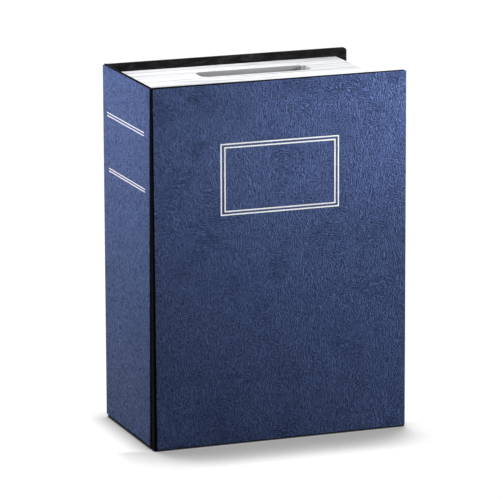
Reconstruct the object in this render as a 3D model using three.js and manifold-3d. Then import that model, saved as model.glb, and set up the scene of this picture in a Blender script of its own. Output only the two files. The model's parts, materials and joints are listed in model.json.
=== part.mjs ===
// A cash safe that looks like a hardback book: a cloth-wrapped case round a moulded block of pages,
// and inside the pages a steel box with a hinged door and a key lock.
// Millimetres. The book stands on its tail: +Z is the head, +X the fore-edge and -Y the front cover.

import * as THREE from 'three';
import { mergeVertices } from 'three/addons/utils/BufferGeometryUtils.js';
import Module from 'manifold-3d';

const wasm = await Module();
wasm.setup();

// Case sizes
const CASE_HEIGHT = 115;
const CASE_WIDTH = 84;
const CASE_THICKNESS = 46;
const PANEL_THICKNESS = 0.35;
const CLOTH_THICKNESS = 0.25;
const BOARD_THICKNESS = 1.5;
const LINING_THICKNESS = 0.2;
const SPINE_CARD_THICKNESS = 0.3;
const GLUE_LINE = 0.05;
const TURN_IN = 9;
const LINING_MARGIN = 3.2;
const PANEL_MARGIN = 0.3;
const PANEL_FORE_MARGIN = 0.1;
const COVER_CORNER_RADIUS = 1;
const BACK_COVER_STEP = 3.2;

// Joint strips between the spine and the covers
const JOINT_RECESS = 0.15;
const JOINT_CLEARANCE = 0.15;
const PANEL_JOINT_MARGIN = 0.2;

// Moulded pages
const PAGE_SQUARE = 2.5;
const PAGE_FORE_SQUARE = 5.8;
const PAGE_HEAD_WALL = 2;
const PAGE_SPINE_WALL = 1.6;
const PAGE_FORE_WALL = 2.7;
const PAGE_COVER_GAP = 0.3;
const LEAF_COUNT = 16;
const LEAF_GROOVE_DEPTH = 0.22;
const LEAF_GROOVE_SHARE = 0.14;

// Coin slot
const SLOT_LENGTH = 37.4;
const SLOT_WIDTH = 6.8;
const SLOT_CORNER_RADIUS = 1;
const SLOT_CENTRE_FROM_SPINE = 43.9;
const SLOT_CENTRE_BACK = 6.3;
const SLOT_EASE = 0.3;

// Steel box and door
const STEEL_THICKNESS = 0.8;
const BOX_FIT = 0.3;
const FLANGE_WIDTH = 4;
const DOOR_THICKNESS = 1;
const DOOR_EDGE_INSET = 0.6;
const DOOR_CORNER_RADIUS = 1.5;
const DOOR_FLANGE_GAP = 0.3;
const DOOR_RIM = 6;
const FIELD_PAST_BEZEL = 2.4;
const FIELD_RISE = 0.6;
const FIELD_CORNER_RADIUS = 3;
const SEAT_GAP = 0.1;

// Two rolled hinges
const KNUCKLE_RADIUS = 1.4;
const KNUCKLE_LENGTH = 5;
const KNUCKLE_GAP = 0.3;
const HINGE_FROM_END = 15;
const PIN_RADIUS = 0.8;
const PIN_CLEARANCE = 0.12;
const PIN_HEAD_RADIUS = 1.2;
const PIN_HEAD_HEIGHT = 0.7;

// Key lock
const BEZEL_RADIUS = 9;
const BEZEL_THICKNESS = 1.5;
const BEZEL_CHAMFER = 0.5;
const BEZEL_RECESS = 0.3;
const BARREL_RADIUS = 7;
const BARREL_HALF_FLATS = 6;
const BARREL_REACH = 6.5;
const BARREL_CLEARANCE = 0.15;
const PLUG_RADIUS = 5;
const PLUG_CLEARANCE = 0.15;
const PLUG_RECESS = 0.2;
const KEYWAY_WIDTH = 1.5;
const KEYWAY_HEIGHT = 6.6;
const KEYWAY_DEPTH = 5;
const NUT_ACROSS_FLATS = 17;
const NUT_SIDES = 6;
const NUT_THICKNESS = 2.5;
const NUT_CLEARANCE = 0.3;
const SPIGOT_SIDE = 5;
const CAM_THICKNESS = 1.6;
const CAM_WIDTH = 10;
const CAM_TIP_WIDTH = 8;
const CAM_REACH = 15.5;
const CAM_TAIL = 6;
const CAM_CRANK = 10.6;
const CAM_BEND = 0.6;
const CAM_GAP = 0.3;
const CAM_TIP_RADIUS = 1.2;
const CAM_FLANGE_GAP = 0.4;
const CAM_FLANGE_OVERLAP = 2.3;
const WASHER_RADIUS = 4;
const WASHER_THICKNESS = 0.6;
const SCREW_HEAD_RADIUS = 2.8;
const SCREW_HEAD_HEIGHT = 1.8;
const SCREW_RADIUS = 1.3;
const SCREW_REACH = 4;
const SCREW_SLOT_WIDTH = 0.7;
const SCREW_SLOT_DEPTH = 0.7;
const SCREW_CLEARANCE = 0.2;

// Rivets between steel box and back board
const RIVET_RADIUS = 1;
const RIVET_HEAD_RADIUS = 2.2;
const RIVET_HEAD_HEIGHT = 0.8;
const RIVET_BOARD_REACH = 1;
const RIVET_CLEARANCE = 0.1;
const RIVET_INSET_ACROSS = 12;
const RIVET_INSET_UP = 14;

// Making values
const CUT_OVERRUN = 2;
const MERGE_DISTANCE = 1e-5;
const ARC_SEGMENTS = 5;
const ROUND_SEGMENTS = 32;
const FINE_SEGMENTS = 48;

// Planes of the case, from the outside in
const halfThickness = CASE_THICKNESS / 2;
const spineFaceX = -CASE_WIDTH / 2;
const foreEdgeX = CASE_WIDTH / 2;
const backForeEdgeX = foreEdgeX - BACK_COVER_STEP;
const clothDepth = PANEL_THICKNESS + GLUE_LINE;
const boardDepth = clothDepth + CLOTH_THICKNESS + GLUE_LINE;
const turnInDepth = boardDepth + BOARD_THICKNESS + GLUE_LINE;
const liningDepth = turnInDepth + CLOTH_THICKNESS + GLUE_LINE;
const coverDepth = liningDepth + LINING_THICKNESS;
const boardInset = CLOTH_THICKNESS + GLUE_LINE;
const spineTurnInX = spineFaceX + boardDepth + SPINE_CARD_THICKNESS + GLUE_LINE;
const spineInsideX = spineTurnInX + CLOTH_THICKNESS;
const jointInsideX = spineFaceX + clothDepth + CLOTH_THICKNESS;
const coverHingeX = jointInsideX + JOINT_CLEARANCE;
const coverLeftX = coverHingeX + JOINT_CLEARANCE;

// Planes of the pages, the box and the door
const pageLeftX = spineInsideX + GLUE_LINE;
const pageRightX = foreEdgeX - PAGE_FORE_SQUARE;
const pageFrontY = coverDepth + PAGE_COVER_GAP - halfThickness;
const pageBackY = halfThickness - coverDepth - GLUE_LINE;
const pageBottomZ = PAGE_SQUARE;
const pageTopZ = CASE_HEIGHT - PAGE_SQUARE;
const cavityLeftX = pageLeftX + PAGE_SPINE_WALL;
const cavityRightX = pageRightX - PAGE_FORE_WALL;
const cavityBottomZ = pageBottomZ + PAGE_HEAD_WALL;
const cavityTopZ = pageTopZ - PAGE_HEAD_WALL;
const boxLeftX = cavityLeftX + BOX_FIT;
const boxRightX = cavityRightX - BOX_FIT;
const boxBottomZ = cavityBottomZ + BOX_FIT;
const boxTopZ = cavityTopZ - BOX_FIT;
const bezelFrontY = pageFrontY + BEZEL_RECESS;
const bezelBackY = bezelFrontY + BEZEL_THICKNESS;
const fieldFrontY = bezelBackY + SEAT_GAP;
const fieldBackY = fieldFrontY + DOOR_THICKNESS;
const rimFrontY = fieldFrontY + FIELD_RISE;
const rimBackY = rimFrontY + DOOR_THICKNESS;
const boxFrontY = rimBackY + DOOR_FLANGE_GAP;
const flangeBackY = boxFrontY + STEEL_THICKNESS;
const boxInsideBackY = pageBackY - STEEL_THICKNESS;
const flangeInsideX = boxRightX - STEEL_THICKNESS - FLANGE_WIDTH;
const doorHingeX = boxLeftX + KNUCKLE_RADIUS;
const doorHingeY = rimBackY - KNUCKLE_RADIUS;
const lockX = flangeInsideX + CAM_FLANGE_OVERLAP - CAM_REACH;
const lockZ = CASE_HEIGHT / 2;

// A closed geometry as a solid that can be cut and joined, and back again
function solidOf(geometry) {
  const bare = geometry.clone();
  bare.deleteAttribute('normal');
  bare.deleteAttribute('uv');
  const merged = mergeVertices(bare, MERGE_DISTANCE);
  const vertProperties = merged.attributes.position.array;
  const triVerts = new Uint32Array(merged.index.array);
  return new wasm.Manifold(new wasm.Mesh({ numProp: 3, vertProperties, triVerts }));
}

function geometryOf(solid) {
  const mesh = solid.getMesh();
  const geometry = new THREE.BufferGeometry();
  geometry.setAttribute('position', new THREE.BufferAttribute(mesh.vertProperties, mesh.numProp));
  geometry.setIndex(new THREE.BufferAttribute(mesh.triVerts, 1));
  geometry.computeVertexNormals();
  return geometry;
}

// Blocks, prisms and turned solids
function block([x0, x1], [y0, y1], [z0, z1]) {
  const geometry = new THREE.BoxGeometry(x1 - x0, y1 - y0, z1 - z0);
  geometry.translate((x0 + x1) / 2, (y0 + y1) / 2, (z0 + z1) / 2);
  return solidOf(geometry);
}

function extrude(shape, depth) {
  const settings = { depth, bevelEnabled: false, curveSegments: ARC_SEGMENTS };
  return new THREE.ExtrudeGeometry(shape, settings);
}

function prismAlongX(shape, x0, x1) {
  const geometry = extrude(shape, x1 - x0);
  const along = new THREE.Vector3(1, 0, 0);
  const turn = new THREE.Matrix4().makeBasis(new THREE.Vector3(0, 1, 0), new THREE.Vector3(0, 0, 1), along);
  geometry.applyMatrix4(turn);
  geometry.translate(x0, 0, 0);
  return solidOf(geometry);
}

function prismAlongY(shape, y0, y1) {
  const geometry = extrude(shape, y1 - y0);
  geometry.rotateX(Math.PI / 2);
  geometry.translate(0, y1, 0);
  return solidOf(geometry);
}

function prismAlongZ(shape, z0, z1) {
  const geometry = extrude(shape, z1 - z0);
  geometry.translate(0, 0, z0);
  return solidOf(geometry);
}

function roundBarZ(radius, [x, y], z0, z1, segments = ROUND_SEGMENTS) {
  const geometry = new THREE.CylinderGeometry(radius, radius, z1 - z0, segments);
  geometry.rotateX(Math.PI / 2);
  geometry.translate(x, y, (z0 + z1) / 2);
  return solidOf(geometry);
}

function roundBarY(radius, [x, z], y0, y1, segments = ROUND_SEGMENTS) {
  const geometry = new THREE.CylinderGeometry(radius, radius, y1 - y0, segments);
  geometry.translate(x, (y0 + y1) / 2, z);
  return solidOf(geometry);
}

// A profile of [radius, y] pairs turned about the Y axis
function turnedAboutY(profile, segments = ROUND_SEGMENTS) {
  const points = profile.map(([radius, y]) => new THREE.Vector2(radius, y));
  return solidOf(new THREE.LatheGeometry(points, segments));
}

// A rectangle with one radius at its left corners and another at its right ones
function roundedOutline([x0, x1], [z0, z1], leftRadius, rightRadius) {
  const corners = [
    [x1 - rightRadius, z0 + rightRadius, rightRadius],
    [x1 - rightRadius, z1 - rightRadius, rightRadius],
    [x0 + leftRadius, z1 - leftRadius, leftRadius],
    [x0 + leftRadius, z0 + leftRadius, leftRadius],
  ];
  const outline = new THREE.Shape();
  corners.forEach(([x, z, radius], place) => {
    const start = (place - 1) * Math.PI / 2;
    if (radius > 0) outline.absarc(x, z, radius, start, start + Math.PI / 2, false);
    else if (place) outline.lineTo(x, z);
    else outline.moveTo(x, z);
  });
  return outline;
}

function outlineOf(points) {
  const outline = new THREE.Shape();
  points.forEach(([u, v], place) => (place ? outline.lineTo(u, v) : outline.moveTo(u, v)));
  return outline;
}

// Finishes, one for each sub-part
function finish(color, roughness, metalness) {
  return new THREE.MeshStandardMaterial({ color, roughness, metalness });
}

function addPart(parent, name, solid, material) {
  const mesh = new THREE.Mesh(geometryOf(solid), material);
  mesh.name = name;
  parent.add(mesh);
}

const book = new THREE.Group();
const frontCover = new THREE.Group();
const door = new THREE.Group();
const lock = new THREE.Group();
lock.position.set(lockX, 0, lockZ);
door.add(lock);
book.add(frontCover, door);

// Covers: a grey board in a wrapped cloth, an embossed panel outside and a paper lining inside
function coverSlab([side, rightX], fromDepth, toDepth, inset, radius) {
  const near = side * (halfThickness - fromDepth);
  const far = side * (halfThickness - toDepth);
  const across = [coverLeftX + inset, rightX - inset];
  const up = [inset, CASE_HEIGHT - inset];
  return prismAlongY(roundedOutline(across, up, 0, radius), Math.min(near, far), Math.max(near, far));
}

function coverParts(side, rightX) {
  const place = [side, rightX];
  const pocketDepth = clothDepth + CLOTH_THICKNESS;
  const wrapped = coverSlab(place, clothDepth, turnInDepth + CLOTH_THICKNESS, 0, COVER_CORNER_RADIUS);
  const pocket = coverSlab(place, pocketDepth, turnInDepth, CLOTH_THICKNESS, COVER_CORNER_RADIUS);
  const window = coverSlab(place, boardDepth, coverDepth, TURN_IN, 0);
  const panelAcross = [coverLeftX + PANEL_JOINT_MARGIN, rightX - PANEL_FORE_MARGIN];
  const panelUp = [PANEL_MARGIN, CASE_HEIGHT - PANEL_MARGIN];
  const panelOutline = roundedOutline(panelAcross, panelUp, 0, COVER_CORNER_RADIUS);
  const faces = [side * halfThickness, side * (halfThickness - PANEL_THICKNESS)];
  return {
    panel: prismAlongY(panelOutline, Math.min(...faces), Math.max(...faces)),
    cloth: wrapped.subtract(pocket).subtract(window),
    board: coverSlab(place, boardDepth, boardDepth + BOARD_THICKNESS, boardInset, COVER_CORNER_RADIUS),
    lining: coverSlab(place, liningDepth, coverDepth, LINING_MARGIN, 0),
  };
}

const front = coverParts(-1, foreEdgeX);
addPart(frontCover, 'front_panel', front.panel, finish(0x46578f, 0.62, 0));
addPart(frontCover, 'front_cloth', front.cloth, finish(0x17171a, 0.7, 0));
addPart(frontCover, 'front_board', front.board, finish(0x8c8478, 0.9, 0));
addPart(frontCover, 'front_lining', front.lining, finish(0x1c1c1f, 0.8, 0));

// Rivets, and the holes that they need in the back wall, the lining and the board
const rivetPlaces = [boxLeftX + RIVET_INSET_ACROSS, boxRightX - RIVET_INSET_ACROSS].flatMap((x) =>
  [boxBottomZ + RIVET_INSET_UP, boxTopZ - RIVET_INSET_UP].map((z) => [x, z]));
const rivetHeadY = boxInsideBackY - SEAT_GAP;
const rivetEndY = halfThickness - boardDepth - BOARD_THICKNESS + RIVET_BOARD_REACH;

function drillForRivets(solid) {
  const holeEndY = rivetEndY + RIVET_CLEARANCE;
  return rivetPlaces.reduce((left, place) =>
    left.subtract(roundBarY(RIVET_RADIUS + RIVET_CLEARANCE, place, rivetHeadY, holeEndY)), solid);
}

rivetPlaces.forEach(([x, z], place) => {
  const shoulderY = rivetHeadY - RIVET_HEAD_HEIGHT;
  const rivet = turnedAboutY([
    [0, shoulderY],
    [RIVET_HEAD_RADIUS / 2, shoulderY + RIVET_HEAD_HEIGHT / 8],
    [RIVET_HEAD_RADIUS, rivetHeadY - RIVET_HEAD_HEIGHT / 4],
    [RIVET_HEAD_RADIUS, rivetHeadY],
    [RIVET_RADIUS, rivetHeadY],
    [RIVET_RADIUS, rivetEndY],
    [0, rivetEndY],
  ]);
  addPart(book, `box_rivet_${place + 1}`, rivet.translate([x, 0, z]), finish(0xb4b6b8, 0.35, 0.9));
});

const back = coverParts(1, backForeEdgeX);
addPart(book, 'back_panel', back.panel, finish(0x3d4b7c, 0.62, 0));
addPart(book, 'back_cloth', back.cloth, finish(0x17171a, 0.7, 0));
addPart(book, 'back_board', drillForRivets(back.board), finish(0x8c8478, 0.9, 0));
addPart(book, 'back_lining', drillForRivets(back.lining), finish(0x1c1c1f, 0.8, 0));

// Spine: a thin card in a wrapped cloth between the covers, and a panel that reaches both joints
const spineHalf = -pageFrontY;

function spineSlab(x0, x1, inset) {
  return block([x0, x1], [inset - spineHalf, spineHalf - inset], [inset, CASE_HEIGHT - inset]);
}

const spineClothX = spineFaceX + clothDepth;
const spineCardX = spineFaceX + boardDepth;
const spineWrapped = spineSlab(spineClothX, spineInsideX, 0);
const spinePocket = spineSlab(spineClothX + CLOTH_THICKNESS, spineTurnInX, CLOTH_THICKNESS);
const spineWindow = spineSlab(spineCardX, spineInsideX + CUT_OVERRUN, TURN_IN);
const spineCard = spineSlab(spineCardX, spineCardX + SPINE_CARD_THICKNESS, boardInset);
const spinePanelHalf = halfThickness - PANEL_MARGIN;
const spinePanel = block(
  [spineFaceX, spineFaceX + PANEL_THICKNESS],
  [-spinePanelHalf, spinePanelHalf],
  [PANEL_MARGIN, CASE_HEIGHT - PANEL_MARGIN],
);
addPart(book, 'spine_panel', spinePanel, finish(0x50629a, 0.62, 0));
const spineCloth = spineWrapped.subtract(spinePocket).subtract(spineWindow);
addPart(book, 'spine_cloth', spineCloth, finish(0x17171a, 0.7, 0));
addPart(book, 'spine_card', spineCard, finish(0x8c8478, 0.9, 0));

// Joint strips: cloth that runs on from the spine and rounds off at the hinge line
function jointStrip(side) {
  const outY = halfThickness - JOINT_RECESS;
  const inY = spineHalf + GLUE_LINE;
  const strip = new THREE.Shape();
  strip.moveTo(spineClothX, side * inY);
  strip.lineTo(spineClothX, side * (outY - CLOTH_THICKNESS));
  const bendY = side * (outY - CLOTH_THICKNESS);
  strip.absarc(jointInsideX, bendY, CLOTH_THICKNESS, Math.PI, side * Math.PI / 2, side > 0);
  strip.lineTo(jointInsideX, side * inY);
  return prismAlongZ(strip, 0, CASE_HEIGHT);
}

addPart(book, 'front_joint', jointStrip(-1), finish(0x101012, 0.75, 0));
addPart(book, 'back_joint', jointStrip(1), finish(0x101012, 0.75, 0));

// Pages: two grooved profiles crossed, so that the leaves meet at the corners as real ones do
const leafPitch = (pageBackY - pageFrontY) / LEAF_COUNT;
const leaves = Array.from({ length: LEAF_COUNT }, (_, leaf) => pageFrontY + leaf * leafPitch);

// Each leaf starts in a groove and runs on at full height
function leafEdge(height) {
  const grooveHalf = leafPitch * LEAF_GROOVE_SHARE;
  const points = leaves.slice(1).flatMap((y) => [
    [y - grooveHalf, height],
    [y, height - LEAF_GROOVE_DEPTH],
    [y + grooveHalf, height],
  ]);
  return [[pageFrontY, height], ...points, [pageBackY, height]];
}

const headEdge = leafEdge(pageTopZ);
const tailEdge = headEdge.map(([y, z]) => [y, pageBottomZ + pageTopZ - z]).reverse();
const leavesUp = prismAlongX(outlineOf([...tailEdge, ...headEdge]), pageLeftX, pageRightX + CUT_OVERRUN);
const foreEdge = leafEdge(pageRightX).map(([y, x]) => [x, y]);
const planCorners = [[pageLeftX, pageBackY], [pageLeftX, pageFrontY]];
const leavesAcross = prismAlongZ(outlineOf([...foreEdge, ...planCorners]), pageBottomZ, pageTopZ);
const boxCavity = block(
  [cavityLeftX, cavityRightX],
  [pageFrontY - CUT_OVERRUN, pageBackY + CUT_OVERRUN],
  [cavityBottomZ, cavityTopZ],
);

// Coin slot, cut through the pages and a little larger through the box
function slotCut(ease, z0, z1) {
  const slotX = spineFaceX + SLOT_CENTRE_FROM_SPINE;
  const halfLength = SLOT_LENGTH / 2 + ease;
  const halfWidth = SLOT_WIDTH / 2 + ease;
  const radius = SLOT_CORNER_RADIUS + ease;
  const across = [slotX - halfLength, slotX + halfLength];
  const deep = [SLOT_CENTRE_BACK - halfWidth, SLOT_CENTRE_BACK + halfWidth];
  return prismAlongZ(roundedOutline(across, deep, radius, radius), z0, z1);
}

const pageSlot = slotCut(0, cavityTopZ - CUT_OVERRUN, pageTopZ + CUT_OVERRUN);
const pageBlock = leavesUp.intersect(leavesAcross).subtract(boxCavity).subtract(pageSlot);
addPart(book, 'page_block', pageBlock, finish(0xf2f2f4, 0.55, 0));

// Hinges: outer knuckles belong to the box and the middle one to the door
const hingeAxis = [doorHingeX, doorHingeY];
const hingeCentres = [boxBottomZ + HINGE_FROM_END, boxTopZ - HINGE_FROM_END];
const boxKnuckles = hingeCentres.flatMap((z) => [-1, 1].map((side) => {
  const middle = z + side * (KNUCKLE_LENGTH + KNUCKLE_GAP);
  return [middle - KNUCKLE_LENGTH / 2, middle + KNUCKLE_LENGTH / 2];
}));
const doorKnuckles = hingeCentres.map((z) => [z - KNUCKLE_LENGTH / 2, z + KNUCKLE_LENGTH / 2]);

function pinHole([z0, z1]) {
  return roundBarZ(PIN_RADIUS + PIN_CLEARANCE, hingeAxis, z0 - KNUCKLE_GAP / 2, z1 + KNUCKLE_GAP / 2);
}

// Steel box: back wall, four sides, an inward flange on three of them and knuckles on the fourth
const boxShell = block([boxLeftX, boxRightX], [boxFrontY, pageBackY], [boxBottomZ, boxTopZ]);
const boxInside = block(
  [boxLeftX + STEEL_THICKNESS, boxRightX - STEEL_THICKNESS],
  [flangeBackY, boxInsideBackY],
  [boxBottomZ + STEEL_THICKNESS, boxTopZ - STEEL_THICKNESS],
);
const boxMouth = block(
  [boxLeftX + STEEL_THICKNESS, flangeInsideX],
  [boxFrontY - CUT_OVERRUN, flangeBackY + STEEL_THICKNESS],
  [boxBottomZ + STEEL_THICKNESS + FLANGE_WIDTH, boxTopZ - STEEL_THICKNESS - FLANGE_WIDTH],
);
const boxSlot = slotCut(SLOT_EASE, boxTopZ - CUT_OVERRUN, boxTopZ + CUT_OVERRUN);
let steelBox = drillForRivets(boxShell.subtract(boxInside).subtract(boxMouth).subtract(boxSlot));
for (const reach of boxKnuckles) {
  const tab = block([boxLeftX, boxLeftX + STEEL_THICKNESS], [doorHingeY, flangeBackY], reach);
  const knuckle = roundBarZ(KNUCKLE_RADIUS, hingeAxis, ...reach);
  steelBox = steelBox.add(tab).add(knuckle).subtract(pinHole(reach));
}
addPart(book, 'steel_box', steelBox, finish(0x2b2c30, 0.5, 0.2));

// Door: a flat rim round a raised field, notched for the box's knuckles and rolled into its own
const doorRightX = boxRightX - DOOR_EDGE_INSET;
const fieldRightX = lockX + BEZEL_RADIUS + FIELD_PAST_BEZEL;
const doorUp = [boxBottomZ + DOOR_EDGE_INSET, boxTopZ - DOOR_EDGE_INSET];
const doorRim = prismAlongY(
  roundedOutline([doorHingeX, doorRightX], doorUp, 0, DOOR_CORNER_RADIUS), rimFrontY, rimBackY);

function fieldSolid(inset, y0, y1) {
  const across = [doorHingeX + DOOR_RIM + inset, fieldRightX - inset];
  const up = [doorUp[0] + DOOR_RIM + inset, doorUp[1] - DOOR_RIM - inset];
  const radius = FIELD_CORNER_RADIUS - inset;
  return prismAlongY(roundedOutline(across, up, radius, radius), y0, y1);
}

function pressedField(inset, y0, y1) {
  const top = fieldSolid(inset + FIELD_RISE, y0, y1);
  return top.add(fieldSolid(inset + FIELD_RISE / 2, y0 + FIELD_RISE / 2, y1));
}

const fieldOutside = pressedField(0, fieldFrontY, rimBackY);
const fieldInside = pressedField(STEEL_THICKNESS, fieldBackY, rimBackY + CUT_OVERRUN);
const lockHoleRadius = BARREL_RADIUS + BARREL_CLEARANCE;
const lockHoleHalf = BARREL_HALF_FLATS + BARREL_CLEARANCE;
const lockHoleY = [fieldFrontY - CUT_OVERRUN, rimBackY];
const lockHoleBlock = block(
  [lockX - lockHoleHalf, lockX + lockHoleHalf],
  lockHoleY,
  [lockZ - BARREL_RADIUS - CUT_OVERRUN, lockZ + BARREL_RADIUS + CUT_OVERRUN],
);
const lockHole = roundBarY(lockHoleRadius, [lockX, lockZ], ...lockHoleY).intersect(lockHoleBlock);
let doorPlate = doorRim.add(fieldOutside).subtract(fieldInside).subtract(lockHole);
const notchRightX = doorHingeX + KNUCKLE_RADIUS + KNUCKLE_GAP;
const hingeHalf = 3 * KNUCKLE_LENGTH / 2 + KNUCKLE_GAP;
const pinShoulder = hingeHalf + KNUCKLE_GAP;
for (const middle of hingeCentres) {
  const notchTopZ = middle + pinShoulder + PIN_HEAD_HEIGHT + KNUCKLE_GAP;
  const notch = block(
    [doorHingeX - CUT_OVERRUN, notchRightX],
    [fieldFrontY, rimBackY + CUT_OVERRUN],
    [middle - pinShoulder, notchTopZ],
  );
  doorPlate = doorPlate.subtract(notch);
}
for (const reach of doorKnuckles) {
  const tab = block([doorHingeX, notchRightX + KNUCKLE_RADIUS], [rimFrontY, rimBackY], reach);
  const knuckle = roundBarZ(KNUCKLE_RADIUS, hingeAxis, ...reach);
  doorPlate = doorPlate.add(tab).add(knuckle).subtract(pinHole(reach));
}
addPart(door, 'door', doorPlate, finish(0x303136, 0.45, 0.25));

// Hinge pins, each with a head on its upper end
hingeCentres.forEach((middle, place) => {
  const shoulderZ = middle + pinShoulder;
  const shank = roundBarZ(PIN_RADIUS, hingeAxis, middle - hingeHalf, shoulderZ + PIN_HEAD_HEIGHT / 2);
  const head = roundBarZ(PIN_HEAD_RADIUS, hingeAxis, shoulderZ, shoulderZ + PIN_HEAD_HEIGHT);
  addPart(book, place ? 'hinge_pin_upper' : 'hinge_pin_lower', shank.add(head), finish(0xa8aaad, 0.3, 1));
});

// Lock body: a chamfered bezel on a barrel with two flats, bored for the plug
const barrelEndY = fieldBackY + BARREL_REACH;
const plugBore = PLUG_RADIUS + PLUG_CLEARANCE;
const lockTurned = turnedAboutY([
  [plugBore, bezelFrontY],
  [BEZEL_RADIUS - BEZEL_CHAMFER, bezelFrontY],
  [BEZEL_RADIUS, bezelFrontY + BEZEL_CHAMFER],
  [BEZEL_RADIUS, bezelBackY],
  [BARREL_RADIUS, bezelBackY],
  [BARREL_RADIUS, barrelEndY],
  [plugBore, barrelEndY],
  [plugBore, bezelFrontY],
], FINE_SEGMENTS);
const flatCut = block(
  [BARREL_HALF_FLATS, BARREL_RADIUS + CUT_OVERRUN],
  [bezelBackY, barrelEndY + CUT_OVERRUN],
  [-BARREL_RADIUS - CUT_OVERRUN, BARREL_RADIUS + CUT_OVERRUN],
);
const lockBody = lockTurned.subtract(flatCut).subtract(flatCut.mirror([1, 0, 0]));
const lockFixed = new THREE.Group();
lockFixed.position.copy(lock.position);
door.add(lockFixed);
addPart(lockFixed, 'lock_body', lockBody, finish(0xc9cacc, 0.18, 1));

// Hexagon nut
const nutFrontY = fieldBackY + SEAT_GAP;
const nutBackY = nutFrontY + NUT_THICKNESS;
const nutCorner = NUT_ACROSS_FLATS / 2 / Math.cos(Math.PI / NUT_SIDES);
const nutBlank = roundBarY(nutCorner, [0, 0], nutFrontY, nutBackY, NUT_SIDES);
const nutBore = roundBarY(BARREL_RADIUS + NUT_CLEARANCE, [0, 0], nutFrontY - SEAT_GAP, nutBackY + SEAT_GAP);
addPart(lockFixed, 'lock_nut', nutBlank.subtract(nutBore), finish(0xb8babd, 0.3, 1));

// Plug: keyway in front, square spigot behind and a blind hole for the screw
const camFrontY = barrelEndY + CAM_GAP;
const camBackY = camFrontY + CAM_THICKNESS;
const plugFrontY = bezelFrontY + PLUG_RECESS;
const keyway = block(
  [-KEYWAY_WIDTH / 2, KEYWAY_WIDTH / 2],
  [plugFrontY - CUT_OVERRUN, plugFrontY + KEYWAY_DEPTH],
  [-KEYWAY_HEIGHT / 2, KEYWAY_HEIGHT / 2],
);
const keyGuide = block(
  [0, KEYWAY_WIDTH],
  [plugFrontY - CUT_OVERRUN, plugFrontY + KEYWAY_DEPTH],
  [-KEYWAY_HEIGHT / 4, 0],
);
const spigotHalf = SPIGOT_SIDE / 2;
const spigotY = [plugFrontY + KEYWAY_DEPTH, camBackY];
const spigot = block([-spigotHalf, spigotHalf], spigotY, [-spigotHalf, spigotHalf]);
const screwHoleY = camBackY - SCREW_REACH;
const screwHole = roundBarY(SCREW_RADIUS + SCREW_CLEARANCE, [0, 0], screwHoleY, camBackY + CUT_OVERRUN);
const plug = roundBarY(PLUG_RADIUS, [0, 0], plugFrontY, barrelEndY)
  .add(spigot).subtract(keyway).subtract(keyGuide).subtract(screwHole);
addPart(lock, 'lock_plug', plug, finish(0xbfa76a, 0.28, 1));

// Cam: a strip with a joggle that lifts its tip close behind the flange; at rest it points up
const camTipFrontY = flangeBackY + CAM_FLANGE_GAP;
const camTipBackY = camTipFrontY + CAM_THICKNESS;
const crankOut = CAM_CRANK + CAM_THICKNESS;
const camSide = outlineOf([
  [camFrontY, -CAM_TAIL],
  [camBackY, -CAM_TAIL],
  [camBackY, crankOut - CAM_BEND],
  [camBackY - CAM_BEND, crankOut],
  [camTipBackY, crankOut],
  [camTipBackY, CAM_REACH],
  [camTipFrontY, CAM_REACH],
  [camTipFrontY, CAM_CRANK + CAM_BEND],
  [camTipFrontY + CAM_BEND, CAM_CRANK],
  [camFrontY, CAM_CRANK],
]);
const camPlan = new THREE.Shape();
camPlan.moveTo(CAM_WIDTH / 2, 0);
camPlan.lineTo(CAM_TIP_WIDTH / 2, CAM_REACH - CAM_TIP_RADIUS);
camPlan.lineTo(CAM_TIP_WIDTH / 2 - CAM_TIP_RADIUS, CAM_REACH);
camPlan.lineTo(CAM_TIP_RADIUS - CAM_TIP_WIDTH / 2, CAM_REACH);
camPlan.lineTo(-CAM_TIP_WIDTH / 2, CAM_REACH - CAM_TIP_RADIUS);
camPlan.lineTo(-CAM_WIDTH / 2, 0);
camPlan.absarc(0, 0, CAM_WIDTH / 2, Math.PI, 2 * Math.PI, false);
const spigotHoleHalf = spigotHalf + PLUG_CLEARANCE;
const spigotHole = block(
  [-spigotHoleHalf, spigotHoleHalf],
  [camFrontY - CUT_OVERRUN, camBackY + CUT_OVERRUN],
  [-spigotHoleHalf, spigotHoleHalf],
);
const camStrip = prismAlongX(camSide, -CAM_WIDTH, CAM_WIDTH);
const camBlank = prismAlongY(camPlan, camTipFrontY - CUT_OVERRUN, camBackY + CUT_OVERRUN);
addPart(lock, 'lock_cam', camStrip.intersect(camBlank).subtract(spigotHole), finish(0x9a9ca0, 0.35, 1));

// Washer and slotted screw that hold the cam on
const washerFrontY = camBackY + SEAT_GAP;
const washerBackY = washerFrontY + WASHER_THICKNESS;
const washerBoreY = [washerFrontY - SEAT_GAP, washerBackY + SEAT_GAP];
const washer = roundBarY(WASHER_RADIUS, [0, 0], washerFrontY, washerBackY)
  .subtract(roundBarY(SCREW_RADIUS + SCREW_CLEARANCE, [0, 0], ...washerBoreY));
addPart(lock, 'cam_washer', washer, finish(0xb0b2b5, 0.3, 1));
const screwHeadFrontY = washerBackY + SEAT_GAP;
const screwHeadBackY = screwHeadFrontY + SCREW_HEAD_HEIGHT;
const screwSlot = block(
  [-SCREW_HEAD_RADIUS - SEAT_GAP, SCREW_HEAD_RADIUS + SEAT_GAP],
  [screwHeadBackY - SCREW_SLOT_DEPTH, screwHeadBackY + CUT_OVERRUN],
  [-SCREW_SLOT_WIDTH / 2, SCREW_SLOT_WIDTH / 2],
);
const screwRootY = (screwHeadFrontY + screwHeadBackY) / 2;
const screw = roundBarY(SCREW_HEAD_RADIUS, [0, 0], screwHeadFrontY, screwHeadBackY)
  .add(roundBarY(SCREW_RADIUS, [0, 0], screwHoleY + SCREW_CLEARANCE, screwRootY))
  .subtract(screwSlot);
addPart(lock, 'cam_screw', screw, finish(0xa6a8ab, 0.3, 1));

export default book;
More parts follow.
